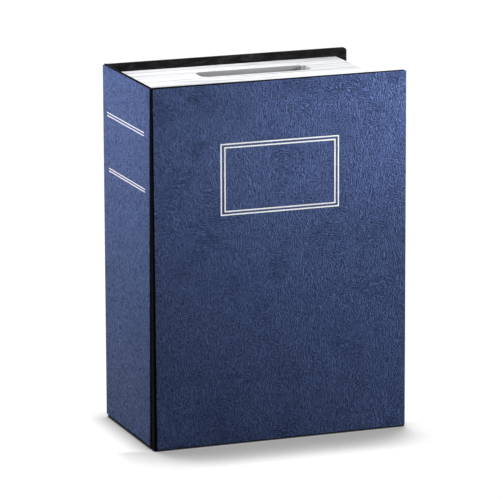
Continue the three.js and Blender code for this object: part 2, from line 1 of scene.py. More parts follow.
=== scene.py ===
"""A cash safe that looks like a hardback book, dressed round its packed CAD model."""

import json
import math
import random

import bmesh
import bpy
from bpy.props import FloatProperty, FloatVectorProperty, IntProperty, PointerProperty
from mathutils import Matrix, Vector


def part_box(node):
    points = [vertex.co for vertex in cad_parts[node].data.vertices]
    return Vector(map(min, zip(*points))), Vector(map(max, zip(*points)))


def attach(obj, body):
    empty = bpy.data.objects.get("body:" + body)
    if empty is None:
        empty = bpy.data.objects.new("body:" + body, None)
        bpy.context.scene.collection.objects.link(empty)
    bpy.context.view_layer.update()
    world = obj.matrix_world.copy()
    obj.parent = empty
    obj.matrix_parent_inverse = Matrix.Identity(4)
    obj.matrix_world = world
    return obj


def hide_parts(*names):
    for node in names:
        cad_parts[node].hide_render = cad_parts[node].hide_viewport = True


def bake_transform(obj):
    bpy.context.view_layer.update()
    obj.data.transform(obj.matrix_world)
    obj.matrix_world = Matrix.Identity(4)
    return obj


bl_info = {
    "name": "Book Safe Builder",
    "version": (1, 0, 0),
    "blender": (4, 5, 0),
    "location": "3D View > Sidebar > Book Safe",
    "description": "Dresses a book-shaped cash safe: cloth case, pages, steel box, door and lock",
    "category": "Object",
}

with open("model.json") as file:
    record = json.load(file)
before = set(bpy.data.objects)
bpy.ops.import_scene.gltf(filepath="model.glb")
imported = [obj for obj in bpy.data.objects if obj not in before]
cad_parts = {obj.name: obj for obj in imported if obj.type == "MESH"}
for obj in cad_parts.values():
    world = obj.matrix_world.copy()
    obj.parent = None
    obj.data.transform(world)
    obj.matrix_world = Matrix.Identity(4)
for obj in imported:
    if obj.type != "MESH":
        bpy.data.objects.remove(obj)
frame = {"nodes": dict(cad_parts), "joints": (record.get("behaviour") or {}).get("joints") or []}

MM = 0.001


def screen_colour(red, green, blue):
    """A colour read off a screen, 0 to 255, as linear light."""
    def linear(level):
        share = level / 255
        return share / 12.92 if share <= 0.04045 else ((share + 0.055) / 1.055) ** 2.4
    return linear(red), linear(green), linear(blue)


def shade(colour, factor):
    return tuple(min(1.0, channel * factor) for channel in colour)


def opaque(colour, factor=1.0):
    """A colour made darker or lighter, with its alpha."""
    return (*shade(colour, factor), 1.0)


# Settings that a user would change
def length_setting(name, description, default, low, high):
    return FloatProperty(name=name, description=description, default=default * MM, min=low * MM,
                         max=high * MM, precision=5, subtype="DISTANCE", unit="LENGTH")


def colour_setting(name, description, red, green, blue):
    return FloatVectorProperty(name=name, description=description, subtype="COLOR", size=3, min=0.0, max=1.0,
                               default=screen_colour(red, green, blue))


def share_setting(name, description, default):
    return FloatProperty(name=name, description=description, default=default, min=0.0, max=1.0,
                         subtype="FACTOR")


def power_setting(name, description, default):
    return FloatProperty(name=name, description=description, default=default, min=0.0, max=100.0, precision=3,
                         unit="POWER")


class BookCaseSettings(bpy.types.PropertyGroup):
    """Sheets, wraps and joints of the case"""
    leather: colour_setting("Leatherette", "Colour of the embossed sheets", 69, 85, 127)
    cloth: colour_setting("Covering", "Colour of the covering wrapped round the boards", 15, 15, 16)
    paper: colour_setting("Lining", "Colour of the paper inside the covers", 38, 38, 41)
    board: colour_setting("Board", "Colour of the grey board", 140, 132, 120)
    front_corner: length_setting("Front corner", "Radius of the front cover's corners", 0.35, 0.1, 4.0)
    back_corner: length_setting("Back corner", "Radius of the back cover's corners", 0.9, 0.1, 4.0)
    sheet_edge: length_setting("Sheet edge", "Softening of a sheet's edges", 0.12, 0.02, 0.3)
    wrap_edge: length_setting("Wrap edge", "Radius of the covering over a board's edge", 0.32, 0.05, 0.6)
    sheet_start: length_setting("Sheet start", "Start of the front sheet left of its board", 0.35, 0.0, 1.0)
    sheet_lean: length_setting("Sheet lean", "Further start of the front sheet at the foot", 0.45, 0.0, 2.0)
    sheet_rim: length_setting("Sheet rim", "Reach of the front sheet past its covering", 0.1, 0.0, 0.2)
    sheet_rise: length_setting("Sheet rise", "Rise of the front sheet's fore-edge corner", 0.22, 0.0, 0.4)
    spine_bare: length_setting("Spine strip", "Bare covering beside the spine's sheet", 1.05, 0.0, 3.0)
    spine_foot: length_setting("Spine foot", "Bare covering below the spine's sheet", 0.55, 0.0, 1.0)
    spine_lean: length_setting("Spine lean", "Further start of the spine's sheet at the foot", 2.2, 0.0, 5.0)
    inner_edge: length_setting("Inner edge", "Radius of the front cover's inner edges", 0.75, 0.1, 0.8)
    front_reach: length_setting("Front reach", "How far the front cover reaches past its board", 0.7, 0.0, 1.5)
    back_reach: length_setting("Back reach", "How far the back cover reaches past its board", 1.25, 0.0, 1.5)
    turn_in: length_setting("Turn-in", "Width of the covering turned in over a board", 9.0, 4.0, 20.0)
    fold_height: length_setting("Fold height", "Height of the folded corner of a turn-in", 0.25, 0.02, 0.25)
    grain: length_setting("Grain depth", "Depth of the embossed grain", 0.44, 0.0, 1.0)


class BookFoilSettings(bpy.types.PropertyGroup):
    """Stamped foil lines"""
    colour: colour_setting("Foil", "Colour of the stamped foil", 238, 239, 241)
    thickness: length_setting("Foil thickness", "How far the foil stands proud", 0.05, 0.01, 0.2)
    line: length_setting("Line width", "Width of a stamped line", 0.43, 0.2, 1.5)


class BookPageSettings(bpy.types.PropertyGroup):
    """Moulded pages"""
    colour: colour_setting("Pages", "Colour of the moulded pages", 214, 215, 219)
    leaves: IntProperty(name="Leaves", description="Number of main leaves", default=16, min=4, max=30)
    groove: length_setting("Groove depth", "Depth of a groove between leaves", 0.24, 0.05, 0.5)
    fine_groove: length_setting("Fine groove depth", "Depth of the lines within a leaf", 0.11, 0.0, 0.3)
    rim: length_setting("Rim radius", "Softening of the moulded rims", 0.22, 0.05, 0.6)
    slot_corner: length_setting("Slot corner", "Radius of the coin slot's corners", 2.2, 0.3, 3.0)
    # The slot's walls and end are the page plastic darkened: painted shade inside the coin slot, less at its
    # fore-edge end
    slot_end_shade: colour_setting("Slot end", "Colour of the slot's fore-edge end", 170, 171, 174)
    slot_wall_shade: colour_setting("Slot walls", "Colour of the plastic inside the coin slot", 146, 147, 150)


class BookSteelSettings(bpy.types.PropertyGroup):
    """Steel box and door"""
    box_paint: colour_setting("Box paint", "Colour of the powder coat on the box", 52, 53, 57)
    door_paint: colour_setting("Door paint", "Colour of the powder coat on the door", 58, 59, 64)
    zinc: colour_setting("Zinc plate", "Colour of the plated steel", 196, 199, 203)
    aluminium: colour_setting("Aluminium", "Colour of the rivets", 205, 207, 209)
    edge: length_setting("Edge softening", "Softening of sheet-metal edges", 0.16, 0.02, 0.4)


class BookLockSettings(bpy.types.PropertyGroup):
    """Key lock"""
    chrome: colour_setting("Chrome", "Colour of the plated lock body", 228, 229, 231)
    brass: colour_setting("Brass", "Colour of the turned plug", 216, 184, 120)
    edge: length_setting("Edge softening", "Softening of turned and pressed edges", 0.12, 0.02, 0.3)


class BookStageSettings(bpy.types.PropertyGroup):
    """Floor, lamps and camera"""
    floor_tone: share_setting("Floor tone", "Lightness of the floor", 0.6)
    shadow: share_setting("Shadow glow", "Glow of the floor in the cast shadow", 0.34)
    surround: share_setting("Surround", "Strength of the light from all round", 0.08)
    key: power_setting("Key lamp", "Power of the lamp at the upper right of the front", 0.036)
    low: power_setting("Low lamp", "Power of the lamp at the lower right of the front", 0.042)
    side: power_setting("Side lamp", "Power of the lamp at the upper left, facing the spine", 0.0565)
    top: power_setting("Top lamp", "Power of the narrow lamp above the head", 0.0055)
    back_right: power_setting("Back right lamp", "Power of the lamp behind, at the right", 0.1)
    back_left: power_setting("Back left lamp", "Power of the lamp behind, at the left", 0.22)
    lens: FloatProperty(name="Lens", description="Focal length of the camera", default=311.35, min=20.0,
                        max=500.0, unit="CAMERA")


# Places of the foil lines and the coin slot, in millimetres
BORDERS = (("front_border_outer", -19.35, 20.05, 73.37, 96.12),
           ("front_border_inner", -18.1, 18.9, 74.42, 95.02))
RULES = (("spine_rules_upper", -16.4, 18.7, (100.15, 99.2)),
         ("spine_rules_lower", -17.0, 17.5, (82.4, 81.55)))
SLOT_LEFT, SLOT_RIGHT, SLOT_NEAR, SLOT_FAR = -16.0, 21.3, 2.1, 10.5

# Each lamp's place, target and size in metres, and its spread in degrees
LAMPS = (("key", (0.22, -0.10, 0.17), (0.045, -0.02, 0.115), 0.06, 26),
         ("low", (0.26, -0.14, 0.045), (0.03, -0.02, 0.042), 0.08, 45),
         ("side", (-0.34, -0.05, 0.27), (-0.042, 0, 0.125), 0.1, 32),
         ("top", (-0.12, 0.03, 0.5), (-0.03, 0, 0.115), 0.06, 12),
         ("back_right", (0.55, 0.35, 0.38), (0, 0, 0.07), 0.3, 70),
         ("back_left", (-0.40, 0.22, 0.48), (0, 0, 0.07), 0.3, 50))


# Selecting, adding and shaping as by hand
def deselect_all():
    bpy.ops.object.select_all(action="DESELECT")


def activate(piece):
    deselect_all()
    piece.select_set(True)
    bpy.context.view_layer.objects.active = piece


def added(name):
    """The primitive that was just added, named and with its place in its mesh."""
    piece = bpy.context.object
    piece.name = name
    piece.data.name = name
    activate(piece)
    bpy.ops.object.transform_apply(location=True, rotation=True, scale=True)
    return piece


def cube_between(name, low, high):
    deselect_all()
    low, high = Vector(low), Vector(high)
    bpy.ops.mesh.primitive_cube_add(size=1, location=(low + high) / 2, scale=high - low)
    return added(name)


def plane_between(name, low, high, turn):
    """A flat face between two corners that share one coordinate. turn faces it outwards."""
    deselect_all()
    low, high = Vector(low), Vector(high)
    across = high - low
    width = across.x if across.x > 0 else across.z
    height = across.z if across.x > 0 else across.y
    bpy.ops.mesh.primitive_plane_add(size=1, location=(low + high) / 2, rotation=turn)
    bpy.context.object.scale = (width, height, 1)
    return added(name)


class Editing:
    """Edit mode on one piece, with faces, edges and points chosen by a test."""

    def __init__(self, piece):
        self.piece = piece

    def __enter__(self):
        activate(self.piece)
        bpy.ops.object.mode_set(mode="EDIT")
        return self

    def __exit__(self, kind, value, trace):
        bpy.ops.object.mode_set(mode="OBJECT")

    def choose(self, kind, test):
        bpy.ops.mesh.select_mode(type=kind)
        bpy.ops.mesh.select_all(action="DESELECT")
        mesh = bmesh.from_edit_mesh(self.piece.data)
        for element in {"VERT": mesh.verts, "EDGE": mesh.edges, "FACE": mesh.faces}[kind]:
            if test(element):
                element.select_set(True)
        mesh.select_flush_mode()
        bmesh.update_edit_mesh(self.piece.data)

    def round_edges(self, test, radius, segments):
        self.choose("EDGE", test)
        bpy.ops.mesh.bevel(offset=radius, segments=segments, affect="EDGES")

    def shift(self, test, step):
        self.choose("VERT", test)
        bpy.ops.transform.translate(value=step)


def along(edge, axis):
    """Whether an edge runs along one axis."""
    reach = edge.verts[1].co - edge.verts[0].co
    return reach.length > 0 and abs(reach[axis]) > 0.999 * reach.length


def middle(edge):
    return (edge.verts[0].co + edge.verts[1].co) / 2


def near(value, target, slack=0.01 * MM):
    return abs(value - target) < slack


def inside(point, low, high, slack):
    return all(low[axis] - slack < point[axis] < high[axis] + slack for axis in range(3))


def apply_modifier(piece, kind, **settings):
    activate(piece)
    modifier = piece.modifiers.new(kind.title(), kind)
    for name, value in settings.items():
        setattr(modifier, name, value)
    bpy.ops.object.modifier_apply(modifier=modifier.name)


def soften(piece, width, segments, angle):
    apply_modifier(piece, "BEVEL", width=width, segments=segments, limit_method="ANGLE",
                   angle_limit=math.radians(angle), use_clamp_overlap=True)


def smooth(piece, angle=35):
    activate(piece)
    bpy.ops.object.shade_smooth_by_angle(angle=math.radians(angle))


def combine(piece, other, operation):
    """Cut a solid from a piece, or join it to the piece, and remove the solid."""
    apply_modifier(piece, "BOOLEAN", operation=operation, object=other, solver="EXACT")
    spare = other.data
    bpy.data.objects.remove(other)
    bpy.data.meshes.remove(spare)


def hollow(piece, low, high, gap):
    """Cut a box-shaped hollow out of a piece, with a gap all round what goes into it."""
    room = Vector((gap, gap, gap))
    combine(piece, cube_between("hollow", low - room, high + room), "DIFFERENCE")


def clean(piece):
    """Merge doubles and turn the faces outwards."""
    with Editing(piece) as editing:
        editing.choose("FACE", lambda face: True)
        bpy.ops.mesh.remove_doubles(threshold=0.001 * MM)
        bpy.ops.mesh.normals_make_consistent(inside=False)


def dress(piece, material, body, slot_name, *nodes):
    """Give a piece its finish, its body and its slot, and say which CAD nodes it stands for."""
    piece.data.materials.clear()
    piece.data.materials.append(material)
    if body:
        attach(piece, body)
    if nodes:
        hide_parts(*nodes)


def dress_faces(piece, material, test):
    """Give the faces that pass a test one more finish."""
    piece.data.materials.append(material)
    piece.active_material_index = len(piece.data.materials) - 1
    with Editing(piece) as editing:
        editing.choose("FACE", test)
        bpy.ops.object.material_slot_assign()


# Finishes
class NodeTree:
    """The nodes of a material or of the world, and the shader that they feed."""

    def __init__(self, owner, shader):
        owner.use_nodes = True
        self.nodes = owner.node_tree.nodes
        self.links = owner.node_tree.links
        self.shader = next(node for node in self.nodes if node.type == shader)

    def feed(self, socket, value):
        if isinstance(value, bpy.types.NodeSocket):
            self.links.new(value, socket)
        else:
            socket.default_value = value

    def add(self, kind, settings=(), **sockets):
        node = self.nodes.new(kind)
        for name, value in dict(settings).items():
            setattr(node, name, value)
        for name, value in sockets.items():
            self.feed(node.inputs[name.replace("_", " ")], value)
        return node

    def set(self, socket, value):
        self.feed(self.shader.inputs[socket], value)

    def maths(self, operation, first, second=0.0):
        node = self.add("ShaderNodeMath", {"operation": operation})
        self.feed(node.inputs[0], first)
        self.feed(node.inputs[1], second)
        return node.outputs[0]

    def spread(self, value, low, high, to_low=0.0, to_high=1.0, course="LINEAR"):
        node = self.add("ShaderNodeMapRange", {"clamp": True, "interpolation_type": course}, Value=value,
                        From_Min=low, From_Max=high, To_Min=to_low, To_Max=to_high)
        return node.outputs["Result"]

    def seen(self):
        """1 for what a viewer sees straight, in gloss or through glass."""
        paths = self.add("ShaderNodeLightPath").outputs
        glimpsed = self.maths("MAXIMUM", paths["Is Camera Ray"], paths["Is Glossy Ray"])
        return self.maths("MAXIMUM", glimpsed, paths["Is Transmission Ray"])


class Finish(NodeTree):
    """A material made of nodes that read the piece's own Object coordinates."""

    def __init__(self, name, colour, roughness, metallic=0.0, specular=0.5):
        self.material = bpy.data.materials.new(name)
        super().__init__(self.material, "BSDF_PRINCIPLED")
        self.place = self.add("ShaderNodeTexCoord").outputs["Object"]
        self.material.diffuse_color = opaque(colour)
        self.set("Base Color", opaque(colour))
        self.set("Roughness", roughness)
        self.set("Metallic", metallic)
        self.set("Specular IOR Level", specular)

    def stretched(self, scale):
        """The place on the piece, with its grains for each metre as one number or along X, Y and Z."""
        scale = scale if isinstance(scale, tuple) else (scale, scale, scale)
        return self.add("ShaderNodeMapping", Vector=self.place, Scale=scale).outputs["Vector"]

    def noise(self, scale, detail=2.0, roughness=0.5, distortion=0.0):
        """Cloudy values between 0 and 1."""
        node = self.add("ShaderNodeTexNoise", Vector=self.stretched(scale), Scale=1.0, Detail=detail,
                        Roughness=roughness, Distortion=distortion)
        return node.outputs["Fac"]

    def wrinkles(self, scale, width):
        """Wavy ridges, 1 on their tops, from where a swirled noise passes its middle."""
        swirl = self.noise(scale, 1.5, 0.5, 0.7)
        off = self.maths("ABSOLUTE", self.maths("SUBTRACT", swirl, 0.5))
        return self.spread(off, 0.0, width, 1.0, 0.0)

    def ripples(self, scale, direction):
        """Fine wavy lines, 1 on their tops. direction is the axis that they cross."""
        node = self.add("ShaderNodeTexWave", {"wave_type": "BANDS", "bands_direction": direction},
                        Vector=self.stretched(scale), Scale=1.0, Distortion=17.0, Detail=2.0,
                        Detail_Scale=1.5, Detail_Roughness=0.6)
        return node.outputs["Fac"]

    def shares(self, share, first, second):
        """A value mixed from two by a share."""
        return self.maths("ADD", self.maths("MULTIPLY", self.maths("SUBTRACT", 1.0, share), first),
                          self.maths("MULTIPLY", share, second))

    def between(self, share, first, second):
        """A colour mixed from two by a share."""
        node = self.add("ShaderNodeMix", {"data_type": "RGBA"})
        self.feed(node.inputs[0], share)
        self.feed(node.inputs[6], first)
        self.feed(node.inputs[7], second)
        return node.outputs[2]

    def worn_and_highlit_edges(self, radius):
        """1 on edges and 0 on flats, from how far a softened normal leans off the true one."""
        soft = self.add("ShaderNodeBevel", {"samples": 6}, Radius=radius)
        true = self.add("ShaderNodeNewGeometry")
        lean = self.add("ShaderNodeVectorMath", {"operation": "DOT_PRODUCT"})
        self.feed(lean.inputs[0], soft.outputs["Normal"])
        self.feed(lean.inputs[1], true.outputs["Normal"])
        return self.spread(lean.outputs["Value"], 0.75, 0.98, 1.0, 0.0)

    def openness(self, reach, **sockets):
        """1 in the open, and less where something stands within reach."""
        node = self.add("ShaderNodeAmbientOcclusion", {"samples": 16}, Distance=reach, **sockets)
        return node.outputs["AO"]

    def patchy(self, mask, scale, low, high, share, *clouds):
        """A mask broken up by a noise, and weakened to a share."""
        broken = self.maths("MULTIPLY", mask, self.spread(self.noise(scale, *clouds), low, high))
        return self.maths("MULTIPLY", broken, share)

    def relief(self, height, depth, strength=1.0, under=None):
        node = self.add("ShaderNodeBump", Height=height, Distance=depth, Strength=strength)
        if under is not None:
            self.feed(node.inputs["Normal"], under)
        return node.outputs["Normal"]


def leatherette(name, colour, depth):
    """Blue sheet embossed with short wavy wrinkles that run upright, and level in patches."""
    finish = Finish(name, colour, 0.55, specular=0.055)
    patches = finish.spread(finish.noise(150), 0.52, 0.6)
    grain = finish.shares(patches, finish.ripples((450, 450, 270), "X"), finish.ripples((270, 270, 450), "Z"))
    pores = finish.spread(finish.noise((1300, 1300, 800), 1.0, 0.5, 0.8), 0.35, 0.65)
    height = finish.shares(0.25, grain, pores)
    # The tone follows the grain's height, lighter on its ridges and darker in its hollows: grain tone with
    # painted highlight and shade of the emboss
    tint = finish.between(height, opaque(colour, 0.6), opaque(colour, 1.75))
    mottle = finish.noise(34, 3.0)
    tint = finish.between(finish.spread(mottle, 0.35, 0.7, 0.0, 0.25), tint, opaque(colour, 0.7))
    # Lighter edges: rubbed wear, and a painted highlight where the sheet's edges catch the light
    rub_and_highlight = finish.patchy(finish.worn_and_highlit_edges(0.25 * MM), 240, 0.3, 0.6, 0.55)
    tint = finish.between(rub_and_highlight, tint, opaque(colour, 2.6))
    finish.set("Base Color", tint)
    finish.set("Roughness", finish.spread(height, 0.0, 1.0, 0.68, 0.42))
    slow = finish.relief(finish.noise(45), 0.25 * MM)
    finish.set("Normal", finish.relief(height, depth, 1.0, slow))
    return finish.material


def covering(name, colour, roughness=0.72, sheen=0.015, light=3.0):
    """Black covering with a fine woven grain."""
    finish = Finish(name, colour, roughness, specular=sheen)
    warp = finish.noise((2600, 2600, 500), 2.0, 0.6)
    weft = finish.noise((500, 500, 2600), 2.0, 0.6)
    weave = finish.maths("MAXIMUM", warp, weft)
    creases = finish.noise((160, 160, 420), 4.0, 0.6, 1.0)
    grain_and_highlight = finish.maths("MULTIPLY", finish.spread(creases, 0.45, 0.75), finish.spread(weave, 0.4, 0.75))
    tint = finish.between(grain_and_highlight, opaque(colour, 0.6), opaque(colour, light))
    rub_and_highlight = finish.patchy(finish.worn_and_highlit_edges(0.3 * MM), 300, 0.4, 0.7, 0.1)
    finish.set("Base Color", finish.between(rub_and_highlight, tint, opaque(colour, 5.0)))
    finish.set("Roughness", finish.spread(weave, 0.3, 0.7, roughness + 0.1, roughness - 0.12))
    slow = finish.relief(creases, 0.12 * MM)
    finish.set("Normal", finish.relief(weave, 0.1 * MM, 1.0, slow))
    return finish.material


def lining_paper(name, colour):
    """Matt paper with short fibres and soft mottling."""
    finish = Finish(name, colour, 0.8, specular=0.3)
    fibres = finish.noise(700, 5.0, 0.7, 2.0)
    mottle = finish.noise(60, 3.0)
    tint = finish.between(fibres, opaque(colour, 0.8), opaque(colour, 1.35))
    mottled = finish.spread(mottle, 0.35, 0.7, 0.0, 0.3)
    finish.set("Base Color", finish.between(mottled, tint, opaque(colour, 1.3)))
    finish.set("Roughness", finish.spread(mottle, 0.3, 0.7, 0.86, 0.7))
    finish.set("Normal", finish.relief(fibres, 0.05 * MM))
    return finish.material


def grey_board(name, colour):
    """Pressed board with flecks."""
    finish = Finish(name, colour, 0.9, specular=0.2)
    flecks = finish.noise(1500, 5.0, 0.8)
    finish.set("Base Color", finish.between(flecks, opaque(colour, 0.7), opaque(colour, 1.25)))
    finish.set("Roughness", finish.spread(flecks, 0.3, 0.7, 0.95, 0.85))
    finish.set("Normal", finish.relief(flecks, 0.08 * MM))
    return finish.material


def stamped_foil(name, colour):
    """Bright foil pressed into the grain, a little broken on its high points."""
    finish = Finish(name, colour, 0.4, 0.35)
    grain = finish.maths("MAXIMUM", finish.noise((1300, 1300, 300), 3.0, 0.6, 0.6),
                         finish.noise((300, 300, 1300), 3.0, 0.6, 0.6))
    flakes = finish.spread(finish.noise(2200, 3.0, 0.7), 0.62, 0.78)
    worn = finish.maths("MULTIPLY", flakes, 0.5)
    finish.set("Base Color", finish.between(worn, opaque(colour), opaque(colour, 0.45)))
    finish.set("Roughness", finish.spread(grain, 0.4, 0.75, 0.46, 0.3))
    finish.set("Normal", finish.relief(grain, 0.05 * MM))
    return finish.material


def moulded_pages(name, colour):
    """Off-white plastic with lines of uneven depth that run with the leaves."""
    finish = Finish(name, colour, 0.5, specular=0.3)
    fine = finish.noise((9, 2600, 9), 3.0, 0.65)
    leaves = finish.wrinkles((5, 360, 5), 0.05)
    pressed = finish.maths("SUBTRACT", finish.maths("MULTIPLY", fine, 0.35),
                           finish.maths("MULTIPLY", leaves, 0.65))
    # The colour darkens with the relief's dips: painted shade in the fine lines and in the grooves between
    # leaves
    tint = finish.between(finish.spread(fine, 0.35, 0.6), opaque(colour, 0.88), opaque(colour))
    tint = finish.between(finish.maths("MULTIPLY", leaves, 0.8), tint, opaque(colour, 0.42))
    warm = finish.noise(35, 3.0)
    aged = finish.spread(warm, 0.4, 0.75, 0.0, 0.06)
    finish.set("Base Color", finish.between(aged, tint, opaque(screen_colour(236, 228, 208))))
    finish.set("Roughness", finish.spread(warm, 0.3, 0.7, 0.45, 0.58))
    finish.set("Normal", finish.relief(pressed, 0.12 * MM))
    return finish.material


def powder_coat(name, colour):
    """Fine textured paint, rubbed thin on its edges."""
    finish = Finish(name, colour, 0.45)
    orange_peel = finish.noise(900)
    grit = finish.noise(2600, 3.0, 0.7)
    height = finish.shares(0.4, orange_peel, grit)
    tint = finish.between(grit, opaque(colour, 0.85), opaque(colour, 1.15))
    rub_and_highlight = finish.patchy(finish.worn_and_highlit_edges(0.22 * MM), 330, 0.5, 0.72, 0.45, 4.0)
    finish.set("Base Color", finish.between(rub_and_highlight, tint, opaque(colour, 4.0)))
    finish.set("Roughness", finish.spread(height, 0.35, 0.65, 0.55, 0.38))
    finish.set("Normal", finish.relief(height, 0.06 * MM))
    return finish.material


def plated(name, colour, roughness):
    """Plated metal with clouded brightness and fine scratches."""
    finish = Finish(name, colour, roughness, 1.0)
    cloud = finish.noise(220, 4.0, 0.6)
    scratch = finish.maths("MAXIMUM", finish.noise((60, 4200, 60), 2.0, 0.6, 1.5),
                           finish.noise((4200, 60, 60), 2.0, 0.6, 1.5))
    clouded = finish.spread(cloud, 0.3, 0.7, 0.0, 0.3)
    finish.set("Base Color", finish.between(clouded, opaque(colour), opaque(colour, 0.72)))
    finish.set("Roughness", finish.spread(scratch, 0.45, 0.75, roughness, min(1.0, roughness * 1.9)))
    finish.set("Normal", finish.relief(scratch, 0.012 * MM, 0.6))
    return finish.material


def turned(name, colour, roughness, centre, pitch=0.12 * MM):
    """Metal turned on a lathe: fine rings round the lock's own line."""
    finish = Finish(name, colour, roughness, 1.0)
    from_centre = (-centre.x, 0.0, -centre.z)
    place = finish.add("ShaderNodeMapping", Vector=finish.place, Location=from_centre).outputs["Vector"]
    parts = finish.add("ShaderNodeSeparateXYZ", Vector=place)
    across = finish.maths("MULTIPLY", parts.outputs["X"], parts.outputs["X"])
    up = finish.maths("MULTIPLY", parts.outputs["Z"], parts.outputs["Z"])
    radius = finish.maths("SQRT", finish.maths("ADD", across, up))
    rings = finish.add("ShaderNodeTexNoise", {"noise_dimensions": "1D"}, Scale=1.0, Detail=2.0)
    finish.feed(rings.inputs["W"], finish.maths("DIVIDE", radius, pitch))
    cloud = finish.noise(400, 3.0)
    clouded = finish.spread(cloud, 0.35, 0.7, 0.0, 0.35)
    finish.set("Base Color", finish.between(clouded, opaque(colour), opaque(colour, 0.7)))
    finish.set("Roughness", finish.spread(cloud, 0.3, 0.7, roughness, roughness + 0.14))
    finish.set("Normal", finish.relief(rings.outputs["Fac"], 0.02 * MM, 0.5))
    return finish.material


# Leatherette sheets
def leant_sheet(name, low, high, test, lean):
    """A thin sheet, one of whose foot corners is moved by lean."""
    piece = cube_between(name, low, high)
    with Editing(piece) as editing:
        editing.shift(lambda point: test(point.co) and near(point.co.z, low.z), lean)
    return piece


def cover_sheet(name, node, corner, start, reach, lean, rise):
    """A sheet on a cover, with rounded fore-edge corners, a left edge that leans and a head edge that rises."""
    case = bpy.context.scene.book_case
    low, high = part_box(node)
    low.x -= start
    high.x += reach
    piece = leant_sheet(name, low, high, lambda point: near(point.x, low.x), (lean, 0, 0))
    with Editing(piece) as editing:
        editing.shift(lambda point: near(point.co.x, high.x) and near(point.co.z, high.z), (0, 0, rise))
        editing.round_edges(lambda edge: along(edge, 1) and near(middle(edge).x, high.x), corner, 6)
    soften(piece, case.sheet_edge, 3, 40)
    smooth(piece)
    return piece


def build_sheets():
    case = bpy.context.scene.book_case
    finish = leatherette("embossed_blue_leatherette", case.leather, case.grain)
    front = cover_sheet("front_sheet", "front_panel", case.front_corner, case.sheet_start,
                        case.front_reach + case.sheet_rim, case.sheet_lean, case.sheet_rise)
    dress(front, finish, "front_cover", "blue_leatherette", "front_panel")
    back = cover_sheet("back_sheet", "back_panel", case.back_corner, 0.0, case.back_reach, 0.0, 0.0)
    dress(back, finish, "book_body", "blue_leatherette", "back_panel")
    low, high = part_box("spine_panel")
    low.y += case.spine_bare
    low.z += case.spine_foot
    spine = leant_sheet("spine_sheet", low, high, lambda point: near(point.y, low.y), (0, case.spine_lean, 0))
    soften(spine, case.sheet_edge, 3, 40)
    smooth(spine)
    dress(spine, finish, "book_body", "blue_leatherette", "spine_panel")


# Coverings wrapped round the boards
def corner_fold(name, corner, inward, face_y, out, height, angle, length):
    """A pleat of a turn-in: a thin wedge that runs inwards from near a corner and thins out to one side."""
    width, sink = 1.5 * MM, 0.05 * MM
    low = Vector((0, face_y - sink, -width / 2))
    high = Vector((length, face_y + height, width / 2))
    piece = cube_between(name, low, high)
    with Editing(piece) as editing:
        editing.choose("VERT", lambda point: near(point.co.x, low.x))
        bpy.ops.transform.resize(value=(1, 1, 0.3), center_override=low + Vector((0, 0, width / 2)))
        editing.shift(lambda point: near(point.co.y, high.y) and point.co.z < 0, (0, -height, 0))
    lean = math.atan2(inward[1] * math.sin(angle), inward[0] * math.cos(angle))
    face = Matrix.Translation((0, face_y, 0))
    mirror = face @ Matrix.Scale(out, 4, (0, 1, 0)) @ Matrix.Translation((0, -face_y, 0))
    turn = Matrix.Rotation(-lean, 4, "Y")
    start = Vector((corner[0] + inward[0] * 1.3 * MM, 0, corner[1] + inward[1] * 1.1 * MM))
    piece.data.transform(Matrix.Translation(start) @ turn @ mirror)
    if out < 0:
        piece.data.flip_normals()
    return piece


def wrapped_board(name, cloth_node, board_node, corner, reach, out, rounding=0.0):
    """Covering round a board, open inside behind the lining, with mitred folds at its corners."""
    case = bpy.context.scene.book_case
    low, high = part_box(cloth_node)
    high.x += reach
    board_low, board_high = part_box(board_node)
    piece = cube_between(name, low, high)
    with Editing(piece) as editing:
        editing.round_edges(lambda edge: along(edge, 1) and near(middle(edge).x, high.x), corner, 6)
        if rounding:
            editing.round_edges(lambda edge: near(middle(edge).y, high.y) and not near(middle(edge).x, low.x),
                                rounding, 5)
    soften(piece, case.wrap_edge, 4, 40)
    inside_y = high.y if out > 0 else low.y
    # The angle of each pleat in degrees, and its length
    square_folds = [(45, 10 * MM)]
    round_folds = [(17, 6.5 * MM), (43, 4.5 * MM), (72, 6 * MM)]
    for x, folds in ((low.x, square_folds), (high.x, round_folds)):
        for z in (low.z, high.z):
            inward = (1 if near(x, low.x) else -1, 1 if near(z, low.z) else -1)
            for angle, length in folds:
                fold = corner_fold(f"{name}_fold", (x, z), inward, inside_y, out, case.fold_height,
                                   math.radians(angle), length)
                combine(piece, fold, "UNION")
    hollow(piece, board_low, board_high, 0.04 * MM)
    edge = case.turn_in
    near_y, far_y = sorted(((board_low.y + board_high.y) / 2, inside_y + out * 3 * MM))
    window_low = (low.x + edge, near_y, low.z + edge)
    window_high = (high.x - edge, far_y, high.z - edge)
    combine(piece, cube_between("window", window_low, window_high), "DIFFERENCE")
    smooth(piece)
    return piece


def build_wraps():
    case = bpy.context.scene.book_case
    finish = covering("black_covering", case.cloth)
    front = wrapped_board("front_wrap", "front_cloth", "front_board", case.front_corner, case.front_reach, 1,
                          case.inner_edge)
    dress(front, finish, "front_cover", "black_cloth", "front_cloth")
    # A lighter, glossier copy of the covering on the turn-ins' inward faces: painted highlight on their grain
    sheen = covering("black_turn_in", shade(case.cloth, 1.1), 0.5, 0.06, 12.0)
    dress_faces(front, sheen, lambda face: face.normal.y > 0.7)
    back = wrapped_board("back_wrap", "back_cloth", "back_board", case.back_corner, case.back_reach, -1)
    dress(back, finish, "book_body", "black_cloth", "back_cloth")
    dress_faces(back, sheen, lambda face: face.normal.y < -0.7)
    low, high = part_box("spine_cloth")
    inner_radius, outer_radius = 0.38 * MM, 0.2 * MM
    spine = cube_between("spine_wrap", low, high)
    with Editing(spine) as editing:
        editing.round_edges(lambda edge: along(edge, 1) and near(middle(edge).x, high.x), inner_radius, 4)
    soften(spine, outer_radius, 3, 40)
    hollow(spine, *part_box("spine_card"), 0.03 * MM)
    smooth(spine)
    dress(spine, finish, "book_body", "black_cloth", "spine_cloth")


